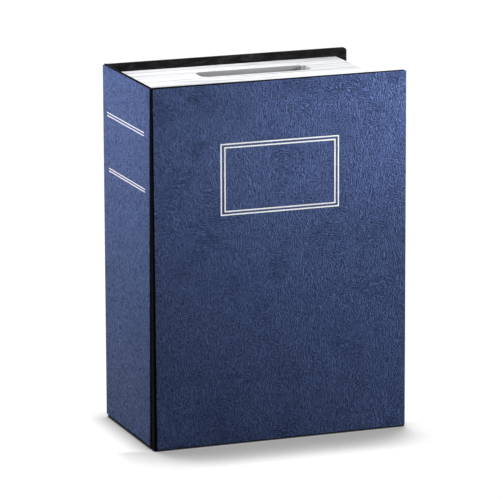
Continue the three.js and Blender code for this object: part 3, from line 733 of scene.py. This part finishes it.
# Joint strips in the grooves beside the spine
def strip_along(name, points, low_z, high_z, thickness):
    """An upright strip of cloth whose plan follows the points."""
    deselect_all()
    bpy.ops.mesh.primitive_plane_add(size=1 * MM, location=(*points[0], low_z))
    piece = added(name)
    with Editing(piece) as editing:
        editing.choose("VERT", lambda point: True)
        bpy.ops.mesh.merge(type="CENTER")
        bpy.ops.mesh.extrude_region_move(TRANSFORM_OT_translate={"value": (0, 0, high_z - low_z)})
        editing.choose("EDGE", lambda edge: True)
        for first, second in zip(points, points[1:]):
            step = (second[0] - first[0], second[1] - first[1], 0)
            bpy.ops.mesh.extrude_region_move(TRANSFORM_OT_translate={"value": step})
    apply_modifier(piece, "SOLIDIFY", thickness=thickness, offset=0)
    clean(piece)
    soften(piece, thickness * 0.35, 2, 50)
    smooth(piece, 60)
    return piece


def build_joints():
    case = bpy.context.scene.book_case
    # The joint cloth is the covering at half its colour: painted shade in the grooves beside the spine
    finish = covering("black_joint_cloth", shade(case.cloth, 0.5), 0.66)
    joint = next(joint for joint in frame["joints"] if joint["name"] == "cover_hinge")
    pivot_x = joint["pos_m"][0]
    low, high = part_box("front_joint")
    wrap_low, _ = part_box("front_cloth")
    sheet_low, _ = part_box("front_panel")
    thickness = high.x - low.x
    mid_x = (low.x + high.x) / 2
    bend = [(mid_x, high.y), (mid_x, low.y + 0.45 * MM), (mid_x + 0.03 * MM, low.y + 0.28 * MM),
            (mid_x + 0.12 * MM, low.y + 0.16 * MM), (pivot_x, low.y + 0.125 * MM),
            (wrap_low.x + 0.02 * MM, low.y + 0.14 * MM), (sheet_low.x + 0.12 * MM, low.y + 0.2 * MM)]
    front = strip_along("front_joint_cloth", bend, low.z, high.z, thickness)
    dress(front, finish, None, "black_cloth", "front_joint")
    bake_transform(front)
    front_y = low.y
    low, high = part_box("back_joint")
    bend = [(x, high.y - (y - front_y)) for x, y in bend]
    back = strip_along("back_joint_cloth", bend, low.z, high.z, thickness)
    dress(back, finish, "book_body", "black_cloth", "back_joint")


# Stamped foil lines
def raise_foil(piece, thickness):
    """Give flat foil its thickness and soften its edges."""
    apply_modifier(piece, "SOLIDIFY", thickness=thickness, offset=1)
    soften(piece, thickness * 0.4, 1, 40)
    return piece


def foil_frame(name, low, high, line, thickness):
    """A rectangle of foil line on the front."""
    piece = plane_between(name, low, high, (math.pi / 2, 0, 0))
    with Editing(piece) as editing:
        editing.choose("FACE", lambda face: True)
        bpy.ops.mesh.inset(thickness=line)
        bpy.ops.mesh.delete(type="FACE")
    return raise_foil(piece, thickness)


def foil_rules(name, x, near_y, far_y, heights, line, thickness):
    """Level foil lines on the spine, as one piece."""
    strips = [plane_between(f"{name}_{place}", (x, near_y, z - line / 2), (x, far_y, z + line / 2),
                            (0, -math.pi / 2, 0)) for place, z in enumerate(heights)]
    activate(strips[0])
    for strip in strips:
        strip.select_set(True)
    bpy.ops.object.join()
    piece = strips[0]
    piece.name = piece.data.name = name
    return raise_foil(piece, thickness)


def build_foil():
    foil = bpy.context.scene.book_foil
    finish = stamped_foil("silver_foil", foil.colour)
    front_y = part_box("front_panel")[0].y + 0.01 * MM
    for name, left, right, foot, head in BORDERS:
        low, high = (left * MM, front_y, foot * MM), (right * MM, front_y, head * MM)
        piece = foil_frame(name, low, high, foil.line, foil.thickness)
        dress(piece, finish, "front_cover", "lock_chrome")
    spine_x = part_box("spine_panel")[0].x + 0.01 * MM
    for name, near_y, far_y, heights in RULES:
        piece = foil_rules(name, spine_x, near_y * MM, far_y * MM, [height * MM for height in heights],
                           foil.line * 0.8, foil.thickness)
        dress(piece, finish, "book_body", "lock_chrome")


# Moulded pages
def build_pages():
    page = bpy.context.scene.book_pages
    finish = moulded_pages("moulded_page_plastic", page.colour)
    low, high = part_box("page_block")
    centre = (low + high) / 2
    size = high - low
    cuts = 8
    piece = cube_between("pages", low, high)
    step = size.y / (page.leaves * cuts)
    draws = random.Random(11)
    with Editing(piece) as editing:
        for number in (page.leaves - 1, cuts - 1):
            editing.choose("EDGE", lambda edge: along(edge, 1))
            bpy.ops.mesh.subdivide(number_cuts=number)
        for place in range(1, page.leaves * cuts):
            if place % cuts == 0:
                depth = page.groove * draws.uniform(0.5, 1.8)
            elif place % cuts in (2, 4, 6):
                depth = page.fine_groove * draws.uniform(0.3, 1.0)
            else:
                continue
            y = low.y + place * step
            editing.choose("VERT", lambda point: near(point.co.y, y, step / 4))
            shrink = (1 - 2 * depth / size.x, 1, 1 - 2 * depth / size.z)
            bpy.ops.transform.resize(value=shrink, center_override=centre)
    box_low, box_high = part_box("steel_box")
    box_low.y, box_high.y = low.y - 3 * MM, high.y + 3 * MM
    hollow(piece, box_low, box_high, 0.3 * MM)
    slot_low = Vector((SLOT_LEFT * MM, SLOT_NEAR * MM, box_high.z - 1 * MM))
    slot_high = Vector((SLOT_RIGHT * MM, SLOT_FAR * MM, high.z + 2 * MM))
    cutter = cube_between("slot_cutter", slot_low, slot_high)
    with Editing(cutter) as editing:
        editing.round_edges(lambda edge: along(edge, 2), page.slot_corner, 6)
    combine(piece, cutter, "DIFFERENCE")
    soften(piece, page.rim, 2, 75)
    smooth(piece, 40)
    dress(piece, finish, "book_body", "page_plastic", "page_block")
    # Darker copies of the page plastic on the slot's walls and end: painted shade inside the slot
    dress_faces(piece, moulded_pages("slot_wall_plastic", page.slot_wall_shade),
                lambda face: inside(face.calc_center_median(), slot_low, slot_high, 0.1 * MM)
                and min(point.co.z for point in face.verts) < high.z - 1 * MM)
    dress_faces(piece, moulded_pages("slot_end_plastic", page.slot_end_shade),
                lambda face: face.material_index == 1 and face.normal.x < -0.05)


# Softened copies of the metal parts
def softened_copy(name, node, width, finish, body, slot_name):
    """A dressed copy of a CAD node with merged faces, rounded edges and evenly shaded flats."""
    source = frame["nodes"][node]
    piece = bpy.data.objects.new(name, source.data.copy())
    piece.data.name = name
    bpy.context.scene.collection.objects.link(piece)
    with Editing(piece) as editing:
        editing.choose("FACE", lambda face: True)
        bpy.ops.mesh.remove_doubles(threshold=0.002 * MM)
        bpy.ops.mesh.dissolve_limited(angle_limit=math.radians(0.5))
    soften(piece, width, 2, 28)
    smooth(piece, 32)
    apply_modifier(piece, "WEIGHTED_NORMAL", mode="FACE_AREA", keep_sharp=True)
    dress(piece, finish, body, slot_name, node)


def build_steel():
    steel = bpy.context.scene.book_steel
    box_paint = powder_coat("box_powder_coat", steel.box_paint)
    door_paint = powder_coat("door_powder_coat", steel.door_paint)
    zinc = plated("zinc_plate", steel.zinc, 0.3)
    aluminium = plated("rivet_aluminium_satin", steel.aluminium, 0.36)
    edge = steel.edge
    softened_copy("steel_box_shell", "steel_box", edge, box_paint, "book_body", "box_paint")
    softened_copy("door_pressing", "door", edge, door_paint, "steel_door", "door_paint")
    for place in ("lower", "upper"):
        softened_copy(f"pin_{place}", f"hinge_pin_{place}", edge, zinc, "book_body", "plated_steel")
    for place in range(1, 5):
        softened_copy(f"rivet_{place}", f"box_rivet_{place}", edge / 2, aluminium, "book_body",
                      "rivet_aluminium")


def build_lock():
    lock = bpy.context.scene.book_lock
    steel = bpy.context.scene.book_steel
    low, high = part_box("lock_body")
    centre = (low + high) / 2
    chrome = turned("lock_chrome_plate", lock.chrome, 0.12, centre, 0.3 * MM)
    brass = turned("lock_turned_brass", lock.brass, 0.22, centre)
    zinc = plated("lock_zinc_plate", steel.zinc, 0.28)
    for name, node, finish, body, slot_name in (
            ("lock_barrel", "lock_body", chrome, "steel_door", "lock_chrome"),
            ("lock_nut_plated", "lock_nut", zinc, "steel_door", "plated_steel"),
            ("plug_and_keyway", "lock_plug", brass, "key_plug", "lock_brass"),
            ("cam_tongue", "lock_cam", zinc, "key_plug", "plated_steel"),
            ("cam_washer_plated", "cam_washer", zinc, "key_plug", "plated_steel"),
            ("cam_screw_slotted", "cam_screw", zinc, "key_plug", "plated_steel")):
        softened_copy(name, node, lock.edge, finish, body, slot_name)


# Boards and linings keep their CAD shapes
def build_boards():
    case = bpy.context.scene.book_case
    paper = lining_paper("black_lining_paper", case.paper)
    board = grey_board("pressed_grey_board", case.board)
    for node, finish in (("front_lining", paper), ("back_lining", paper), ("front_board", board),
                         ("back_board", board), ("spine_card", board)):
        materials = frame["nodes"][node].data.materials
        materials.clear()
        materials.append(finish)


# Floor, lamps and camera
def stage_floor(tone, shadow):
    """A pale floor that a viewer sees as white, darker where a piece stands close to it."""
    deselect_all()
    bpy.ops.mesh.primitive_plane_add(size=6, location=(0, 0, -0.0002))
    floor = added("studio_floor")
    finish = Finish("studio_floor_paper", (tone, tone, tone), 0.9, specular=0.1)
    seen = finish.seen()
    # Painted shade in the floor's glow: a thin line of contact, a soft shade round the foot, and a shadow in
    # front of the cover, from occlusion and the floor's place
    line = finish.openness(1.2 * MM)
    contact = finish.openness(8 * MM)
    towards_back = finish.add("ShaderNodeCombineXYZ", X=0.2, Y=0.9, Z=0.38).outputs["Vector"]
    cast = finish.openness(27 * MM, Normal=towards_back)
    parts = finish.add("ShaderNodeSeparateXYZ", Vector=finish.place)
    beside = finish.maths("MAXIMUM", finish.spread(parts.outputs["Y"], -27 * MM, -19 * MM),
                          finish.spread(parts.outputs["X"], -54 * MM, -42 * MM, 1.0, 0.0))
    cast = finish.maths("MAXIMUM", beside, finish.spread(cast, 0.45, 0.94, shadow, 1.0, "SMOOTHSTEP"))
    glow = finish.maths("MINIMUM", finish.spread(contact, 0.5, 1.0, 0.42, 1.0), cast)
    glow = finish.maths("MINIMUM", finish.spread(line, 0.55, 0.85, 0.04, 1.0), glow)
    finish.set("Base Color", finish.between(seen, (tone, tone, tone, 1.0), (0.03, 0.03, 0.03, 1.0)))
    finish.set("Emission Color", (1.0, 1.0, 1.0, 1.0))
    finish.set("Emission Strength", finish.maths("MULTIPLY", seen, glow))
    floor.data.materials.append(finish.material)


def stage_world(strength):
    """An even surround, white for a viewer and dim for the object."""
    world = bpy.data.worlds.new("studio_world")
    bpy.context.scene.world = world
    tree = NodeTree(world, "BACKGROUND")
    tree.set("Color", (1.0, 1.0, 1.0, 1.0))
    tree.set("Strength", tree.spread(tree.seen(), 0.0, 1.0, strength, 1.0))


def stage_lamp(name, place, target, size, spread, power):
    deselect_all()
    bpy.ops.object.light_add(type="AREA", location=place)
    lamp = bpy.context.object
    lamp.name = name
    lamp.visible_camera = False
    lamp.data.shape = "SQUARE"
    lamp.data.size = size
    lamp.data.spread = math.radians(spread)
    lamp.data.energy = power
    lamp.rotation_euler = (Vector(target) - Vector(place)).to_track_quat("-Z", "Y").to_euler()


def stage_camera(lens):
    """A camera fitted to the edges of the case in the photograph."""
    yaw, pitch, roll = math.radians(20.522), math.radians(12.969), math.radians(-0.204)
    target, distance = Vector((-1.096, 0.0, 56.147)) * MM, 1370.2 * MM
    back = Vector((-math.sin(yaw) * math.cos(pitch), -math.cos(yaw) * math.cos(pitch), math.sin(pitch)))
    right = (-back).cross(Vector((0, 0, 1))).normalized()
    up = right.cross(-back)
    leaned_right = right * math.cos(roll) + up * math.sin(roll)
    leaned_up = up * math.cos(roll) - right * math.sin(roll)
    data = bpy.data.cameras.new("photo_camera")
    data.lens = lens
    data.sensor_width = 36.0
    data.clip_start = 0.05
    camera = bpy.data.objects.new("photo_camera", data)
    bpy.context.scene.collection.objects.link(camera)
    turn = Matrix((leaned_right, leaned_up, back)).transposed()
    camera.matrix_world = Matrix.Translation(target + back * distance) @ turn.to_4x4()
    bpy.context.scene.camera = camera


def build_stage():
    stage = bpy.context.scene.book_stage
    bpy.context.scene.view_settings.view_transform = "Standard"
    stage_floor(stage.floor_tone, stage.shadow)
    stage_world(stage.surround)
    for name, place, target, size, spread in LAMPS:
        stage_lamp(f"{name}_lamp", place, target, size, spread, getattr(stage, name))
    stage_camera(stage.lens)


# One operator for the stage and for each group of pieces
class OBJECT_OT_book_safe_stage(bpy.types.Operator):
    """Set up the floor, the lamps and the camera"""
    bl_idname = "object.book_safe_stage"
    bl_label = "Stage"
    bl_options = {"REGISTER", "UNDO"}

    def execute(self, context):
        build_stage()
        return {"FINISHED"}


class OBJECT_OT_book_safe_sheets(bpy.types.Operator):
    """Make the embossed sheets on the covers and the spine"""
    bl_idname = "object.book_safe_sheets"
    bl_label = "Leatherette sheets"
    bl_options = {"REGISTER", "UNDO"}

    def execute(self, context):
        build_sheets()
        return {"FINISHED"}


class OBJECT_OT_book_safe_wraps(bpy.types.Operator):
    """Make the coverings wrapped round the boards"""
    bl_idname = "object.book_safe_wraps"
    bl_label = "Coverings"
    bl_options = {"REGISTER", "UNDO"}

    def execute(self, context):
        build_wraps()
        return {"FINISHED"}


class OBJECT_OT_book_safe_joints(bpy.types.Operator):
    """Make the cloth strips in the grooves beside the spine"""
    bl_idname = "object.book_safe_joints"
    bl_label = "Joint strips"
    bl_options = {"REGISTER", "UNDO"}

    def execute(self, context):
        build_joints()
        return {"FINISHED"}


class OBJECT_OT_book_safe_foil(bpy.types.Operator):
    """Make the border on the front and the rules on the spine"""
    bl_idname = "object.book_safe_foil"
    bl_label = "Foil lines"
    bl_options = {"REGISTER", "UNDO"}

    def execute(self, context):
        build_foil()
        return {"FINISHED"}


class OBJECT_OT_book_safe_boards(bpy.types.Operator):
    """Finish the boards and the linings"""
    bl_idname = "object.book_safe_boards"
    bl_label = "Boards and linings"
    bl_options = {"REGISTER", "UNDO"}

    def execute(self, context):
        build_boards()
        return {"FINISHED"}


class OBJECT_OT_book_safe_pages(bpy.types.Operator):
    """Make the moulded pages with the coin slot"""
    bl_idname = "object.book_safe_pages"
    bl_label = "Pages"
    bl_options = {"REGISTER", "UNDO"}

    def execute(self, context):
        build_pages()
        return {"FINISHED"}


class OBJECT_OT_book_safe_steel(bpy.types.Operator):
    """Make the box, the door, the hinge pins and the rivets"""
    bl_idname = "object.book_safe_steel"
    bl_label = "Steel box and door"
    bl_options = {"REGISTER", "UNDO"}

    def execute(self, context):
        build_steel()
        return {"FINISHED"}


class OBJECT_OT_book_safe_lock(bpy.types.Operator):
    """Make the lock body, plug, nut, cam, washer and screw"""
    bl_idname = "object.book_safe_lock"
    bl_label = "Key lock"
    bl_options = {"REGISTER", "UNDO"}

    def execute(self, context):
        build_lock()
        return {"FINISHED"}


OPERATORS = (
    OBJECT_OT_book_safe_stage,
    OBJECT_OT_book_safe_sheets,
    OBJECT_OT_book_safe_wraps,
    OBJECT_OT_book_safe_joints,
    OBJECT_OT_book_safe_foil,
    OBJECT_OT_book_safe_boards,
    OBJECT_OT_book_safe_pages,
    OBJECT_OT_book_safe_steel,
    OBJECT_OT_book_safe_lock,
)
SETTINGS = (("book_case", BookCaseSettings), ("book_foil", BookFoilSettings),
            ("book_pages", BookPageSettings), ("book_steel", BookSteelSettings),
            ("book_lock", BookLockSettings), ("book_stage", BookStageSettings))


class VIEW3D_PT_book_safe(bpy.types.Panel):
    """The builder's operators and settings"""
    bl_label = "Book Safe"
    bl_idname = "VIEW3D_PT_book_safe"
    bl_space_type = "VIEW_3D"
    bl_region_type = "UI"
    bl_category = "Book Safe"

    def draw(self, context):
        for operator in OPERATORS:
            self.layout.operator(operator.bl_idname)
        for name, group in SETTINGS:
            column = self.layout.column(heading=group.__doc__)
            for setting in group.__annotations__:
                column.prop(getattr(context.scene, name), setting)


def register():
    for name, group in SETTINGS:
        bpy.utils.register_class(group)
        setattr(bpy.types.Scene, name, PointerProperty(type=group))
    for operator in OPERATORS:
        bpy.utils.register_class(operator)
    bpy.utils.register_class(VIEW3D_PT_book_safe)


def unregister():
    bpy.utils.unregister_class(VIEW3D_PT_book_safe)
    for operator in reversed(OPERATORS):
        bpy.utils.unregister_class(operator)
    for name, group in reversed(SETTINGS):
        delattr(bpy.types.Scene, name)
        bpy.utils.unregister_class(group)


def main():
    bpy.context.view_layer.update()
    register()
    for operator in OPERATORS:
        _, name = operator.bl_idname.split(".")
        getattr(bpy.ops.object, name)()


if __name__ == "__main__":
    main()
